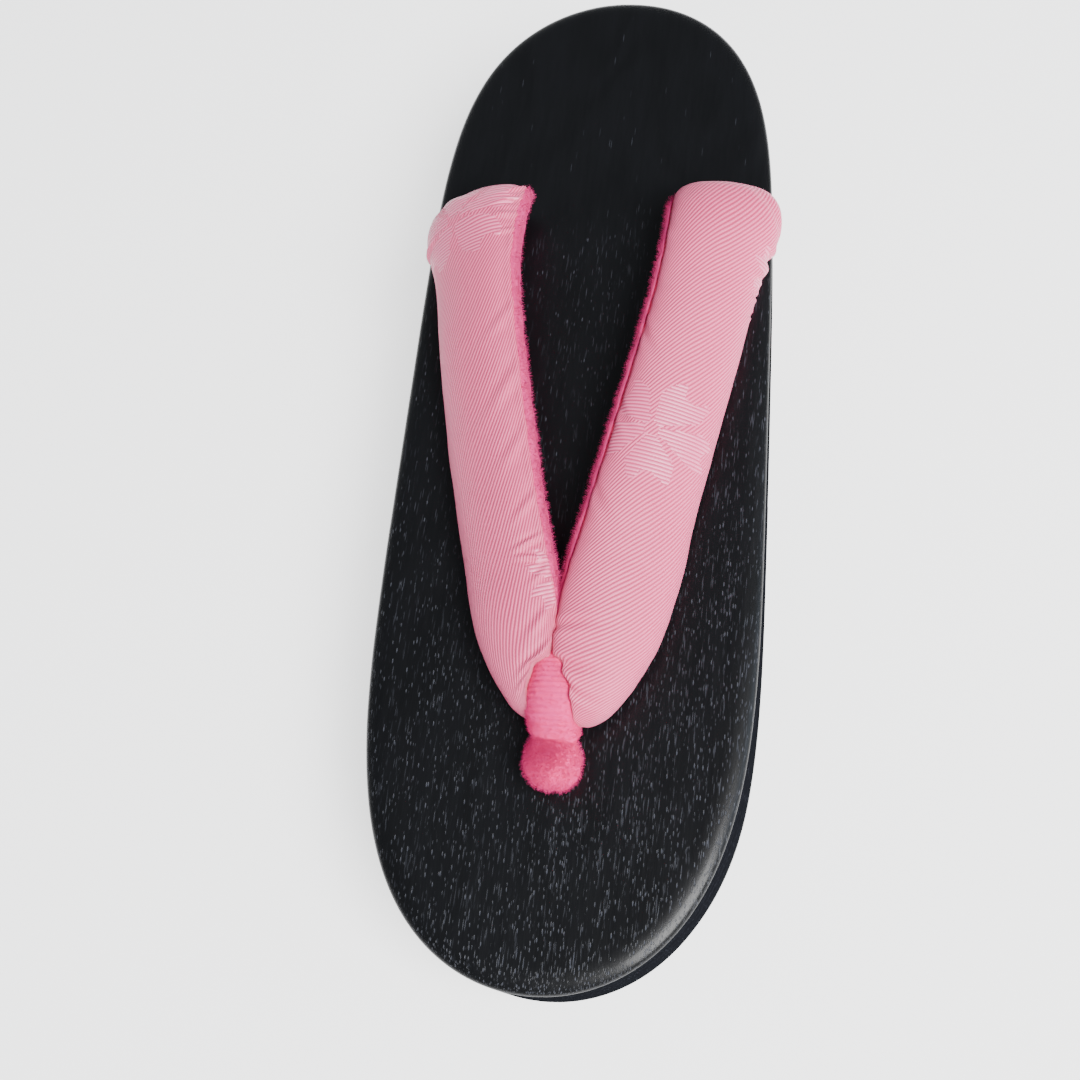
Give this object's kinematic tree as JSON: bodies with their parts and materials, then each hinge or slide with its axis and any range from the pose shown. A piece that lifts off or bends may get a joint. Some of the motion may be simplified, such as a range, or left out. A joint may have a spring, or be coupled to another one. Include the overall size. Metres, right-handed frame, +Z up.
{
  "type": "geta sandal",
  "caption": "Low wooden geta sandal with a heel block, an arch and a toe spring, rubber sheets underneath, padded brocade straps and a velvet toe thong.",
  "frame": {"origin": "middle of the bounding box, on the floor that the sandal stands on", "axes": "+X across, +Y from toe to heel, +Z up"},
  "size_m": [0.0817, 0.2348, 0.0466],
  "materials": {
    "black_wood": "satin black lacquer over open grain",
    "grey_rubber": "matte",
    "pink_brocade": "satin twill with woven flowers",
    "pink_velvet": "velvet"
  },
  "bodies": {
    "root": {"geta_body": "black_wood", "heel_rubber_sheet": "grey_rubber", "forefoot_rubber_sheet": "grey_rubber", "upper_straps": "pink_brocade", "front_thong": "pink_velvet"}
  },
  "joints": []
}
